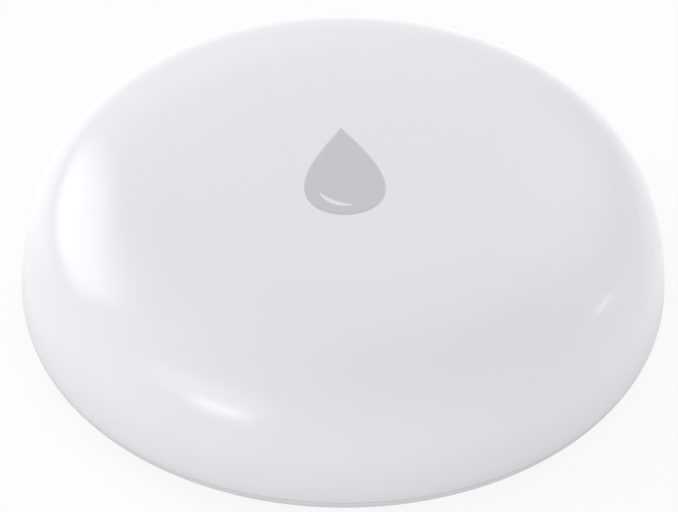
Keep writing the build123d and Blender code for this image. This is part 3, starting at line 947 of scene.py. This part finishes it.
@dataclass
class SolderFillets:
    """Solder that runs up round the switch's legs on the board."""

    board_top: float = 0.0
    leg_x: float = 0.0037
    leg_y: float = 0.00225
    reach: float = 0.00075
    height: float = 0.00055
    draw_in: float = 0.8
    hollow: float = 2.2
    flatness: float = 0.75
    steps: int = 8
    segments: int = 32
    crease: float = 50.0

    def build(self) -> bpy.types.Object:
        """Builds the four fillets as one piece."""
        self.board_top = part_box("circuit_board")[1][2]
        mesh = bmesh.new()
        for side_x in (-1, 1):
            for side_y in (-1, 1):
                self._fillet(mesh, side_x * self.leg_x, side_y * self.leg_y)
        return Bench.piece("solder_fillets", mesh, self.crease)

    def _fillet(self, mesh: bmesh.types.BMesh, x: float, y: float) -> None:
        """Adds one fillet: a pool that rises in a hollow curve towards its middle."""
        loops = []
        for share in (k / self.steps for k in range(self.steps + 1)):
            wide, height = self.reach * (1 - share * self.draw_in), self.board_top + self.height * share ** self.hollow
            loops.append([mesh.verts.new((x + wide * math.cos(turn), y + wide * self.flatness * math.sin(turn), height))
                          for turn in circle(self.segments)])
        Bench.join_rings(mesh, loops)
        mesh.faces.new(loops[-1])
        mesh.faces.new(loops[0][::-1])

    def dress(self, fillets: bpy.types.Object) -> None:
        """Gives the fillets their finish."""
        Finishes.solder.dress(fillets)
        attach(fillets, "base")


@dataclass(frozen=True)
class Softbox:
    """Soft rectangular lamp that faces the sensor."""

    name: str
    azimuth: float
    elevation: float
    wide: float
    high: float
    radiance: float
    distance: float = 0.9

    def build(self) -> None:
        """Adds the lamp."""
        lamp = bpy.data.lights.new(self.name, "AREA")
        lamp.shape = "RECTANGLE"
        lamp.size, lamp.size_y = (2 * self.distance * math.tan(math.radians(angle / 2))
                                  for angle in (self.wide, self.high))
        lamp.energy = self.radiance * math.pi * lamp.size * lamp.size_y
        made = stand(self.name, lamp)
        towards = direction(self.azimuth, self.elevation)
        made.location = towards * self.distance
        made.rotation_mode = "QUATERNION"
        made.rotation_quaternion = (-towards).to_track_quat("-Z", "Y")
        made.visible_camera = False


@dataclass(frozen=True)
class SkyPatch:
    """Round patch of the sky with soft edges, brighter or dimmer than the rest."""

    azimuth: float
    elevation: float
    reach: float
    edge: float
    change: float

    def level(self, graph: Graph, sky: Signal) -> Signal:
        """Change of the sky's level in the direction that is looked at, zero outside the patch."""
        near = graph.measure("DOT_PRODUCT", sky, tuple(direction(self.azimuth, self.elevation)))
        outer = math.cos(math.radians(self.reach + self.edge))
        inner = math.cos(math.radians(self.reach - self.edge))
        return near.step(outer, inner, 0.0, self.change)


@dataclass(frozen=True)
class Sky:
    """Soft sky of one level, with patches and a band low behind the sensor."""

    base: float
    patches: Tuple[SkyPatch, ...] = ()
    band_change: float = 0.0
    band_top: float = 26.0
    band_edge: float = 1.5
    band_fade: float = 0.3

    def level(self, graph: Graph, sky: Signal) -> Signal:
        """Level of the sky in the direction that is looked at."""
        _, back, height = graph.split(sky)
        top, edge = math.radians(self.band_top), math.radians(self.band_edge)
        low = height.step(math.sin(top - edge), math.sin(top + edge), self.band_change, 0.0)
        level = self.base + low * back.step(0.0, self.band_fade)
        for patch in self.patches:
            level = level + patch.level(graph, sky)
        return level


@dataclass(frozen=True)
class FloorZone:
    """Round zone of the floor with a soft edge, whose painted brightness differs from the rest: painted light where it
    is brighter, painted shade where it is darker.
    """

    x: float
    y: float
    inner: float
    outer: float
    level: float

    def mix(self, graph: Graph, rest: Signal) -> Signal:
        """The glow of the rest of the floor, with the zone's painted brightness laid over it."""
        away = graph.measure("DISTANCE", graph.place(), (self.x, self.y, 0.0))
        return graph.between(away.step(self.inner, self.outer, 1.0, 0.0), rest, graph.glow(self.level))


@dataclass
class Studio:
    """Pale floor, soft surrounding light and softboxes."""

    light: Sky = Sky(0.764)
    mirror: Sky = Sky(0.965, (
        SkyPatch(30.0, 36.0, 12.0, 9.0, 0.69), SkyPatch(-34.0, 38.0, 20.0, 12.0, -0.2),
        SkyPatch(-50.0, 2.0, 24.0, 10.0, -0.26), SkyPatch(-50.0, 28.0, 18.0, 9.0, 1.6),
        SkyPatch(-134.0, 8.0, 17.0, 12.0, 1.5), SkyPatch(62.0, 38.0, 13.0, 8.0, 0.45),
        SkyPatch(-11.0, 27.0, 9.0, 6.0, 0.4), SkyPatch(22.0, 10.0, 14.0, 10.0, -0.14),
        SkyPatch(12.0, 40.0, 12.0, 8.0, 0.2), SkyPatch(42.0, 60.0, 12.0, 8.0, 0.3)), 0.2)
    floor_size: float = 6.0
    floor_middle: float = 0.1
    floor_drop: float = 20 * MICRON
    floor_shade: float = 0.16
    floor_bounce: float = 0.86
    floor_gloss: float = 1.04
    # Painted shade and light in the glow the floor gives back to the sensor: darker round the sensor's foot, lighter
    # right under it.
    painted_bounce_zones: Tuple[FloorZone, ...] = (
        FloorZone(0.0, 0.0, 0.024, 0.034, 0.51), FloorZone(0.0, 0.0, 0.019, 0.024, 0.92))
    # Painted reflections on the floor in mirrored rays: bright pools that stand in for lamp light on the floor, and a
    # darker painted shadow round the sensor's foot, set towards its front.
    painted_mirror_zones: Tuple[FloorZone, ...] = (
        FloorZone(-0.09, 0.12, 0.03, 0.11, 1.68), FloorZone(0.0, -0.005, 0.022, 0.032, 0.6),
        FloorZone(-0.06, -0.074, 0.012, 0.034, 1.9), FloorZone(0.035, 0.085, 0.045, 0.085, 1.3),
        FloorZone(-0.042, 0.042, 0.022, 0.036, 1.38))
    softboxes: Tuple[Softbox, ...] = (
        Softbox("softbox_left", -52.0, 25.0, 48.0, 32.0, 1.54),
        Softbox("softbox_front_left", -143.0, 4.6, 17.0, 8.6, 4.2, 0.12),
        Softbox("strip_right", 78.6, 10.4, 7.5, 2.2, 8.5),
    )

    def surroundings(self) -> None:
        """Sets the world: white to the camera, one soft sky for mirrored rays and another for the other light."""
        world = bpy.data.worlds.new("studio")
        world.use_nodes = True
        bpy.context.scene.world = world
        graph = Graph(world.node_tree)
        sky = graph.pick("ShaderNodeTexCoord", output="Generated")
        camera, glossy, through = graph.rays("Camera", "Glossy", "Transmission")
        direct = graph.maths("MAXIMUM", camera, through)
        indirect = glossy * self.mirror.level(graph, sky) + (1 - glossy) * self.light.level(graph, sky)
        strength = direct + indirect * (1 - direct)
        light = graph.pick("ShaderNodeBackground", inputs={"Color": WHITE, "Strength": strength})
        graph.node("ShaderNodeOutputWorld", inputs={"Surface": light})

    def floor_sheet(self) -> bpy.types.Object:
        """Adds the sheet of the floor, which faces up and has a small tile in its middle."""
        half, inner = self.floor_size / 2, self.floor_middle / 2
        places = (-half, -inner, inner, half)
        count = len(places)
        corners = [(x, y, -self.floor_drop) for y in places for x in places]
        tiles = [(k, k + 1, k + 1 + count, k + count)
                 for row in range(count - 1) for k in range(row * count, row * count + count - 1)]
        data = bpy.data.meshes.new("studio_floor")
        data.from_pydata(corners, [], tiles)
        return stand("studio_floor", data)

    def floor(self) -> None:
        """Adds the floor: white with the sensor's faint shadow, and clear from below; the glow it gives back and shows
        in mirrored rays carries painted shade and painted pools of light.
        """
        floor = self.floor_sheet()
        made = bpy.data.materials.new("studio_floor")
        made.use_nodes = True
        graph = Graph(made.node_tree)
        camera, glossy, through = graph.rays("Camera", "Glossy", "Transmission")
        gleam, bounce = graph.glow(self.floor_gloss), graph.glow(self.floor_bounce)
        # Painted pools of light and painted shadow, laid on the floor's mirrored glow.
        for zone in self.painted_mirror_zones:
            gleam = zone.mix(graph, gleam)
        # Painted shade round the sensor's foot and painted light right under it, laid on the floor's bounce glow.
        for zone in self.painted_bounce_zones:
            bounce = zone.mix(graph, bounce)
        shade = graph.pick("ShaderNodeBsdfDiffuse", inputs={"Color": WHITE})
        lit = graph.between(self.floor_shade, graph.glow(1.0), shade)
        other = graph.between(graph.maths("MAXIMUM", glossy, through), bounce, gleam)
        below = graph.pick("ShaderNodeNewGeometry", output="Backfacing")
        clear = graph.pick("ShaderNodeBsdfTransparent")
        surface = graph.between(below, graph.between(camera, other, lit), clear)
        graph.node("ShaderNodeOutputMaterial", inputs={"Surface": surface})
        floor.data.materials.append(made)

    def build(self) -> None:
        """Adds the surroundings, the floor and the lamps, and sets how colours are shown."""
        self.surroundings()
        self.floor()
        for softbox in self.softboxes:
            softbox.build()
        bpy.context.scene.view_settings.view_transform = "Standard"


@dataclass
class ViewCamera:
    """Camera at the photograph's viewing angle."""

    target: Triple = (0.0, 0.0, 0.0075)
    distance: float = 1.0
    elevation: float = 39.94
    roll: float = 0.23
    sensor: float = 36.0
    lens: float = 684.0
    shift: Point = (-0.00656, -0.02361)
    near: float = 0.01
    far: float = 20.0

    def build(self) -> bpy.types.Object:
        """Adds the camera and makes it the scene's own."""
        rise, turn = math.radians(self.elevation), math.radians(self.roll)
        back = Vector((0.0, -math.cos(rise), math.sin(rise)))
        level, upright = Vector((1.0, 0.0, 0.0)), Vector((0.0, math.sin(rise), math.cos(rise)))
        right = level * math.cos(turn) + upright * math.sin(turn)
        up = upright * math.cos(turn) - level * math.sin(turn)
        data = bpy.data.cameras.new("view_camera")
        data.sensor_width, data.lens = self.sensor, self.lens
        data.shift_x, data.shift_y = self.shift
        data.clip_start, data.clip_end = self.near, self.far
        made = stand("view_camera", data)
        turned = Matrix((right, up, back)).transposed().to_4x4()
        made.matrix_world = Matrix.Translation(Vector(self.target) + back * self.distance) @ turned
        bpy.context.scene.camera = made
        return made


def main() -> None:
    """Builds the sensor's pieces in order, then the studio and the camera."""
    logging.basicConfig(level=logging.INFO, format="%(message)s")
    cover = CoverDome()
    for maker in (cover, CrownMark(cover), SnapDome(), SolderFillets()):
        made = maker.build()
        maker.dress(made)
        for piece in made if isinstance(made, list) else [made]:
            log.info("%s: %d faces", piece.name, len(piece.data.polygons))
    PackedPieces().dress()
    Studio().build()
    log.info("camera: %s", ViewCamera().build().name)


if __name__ == "__main__":
    main()
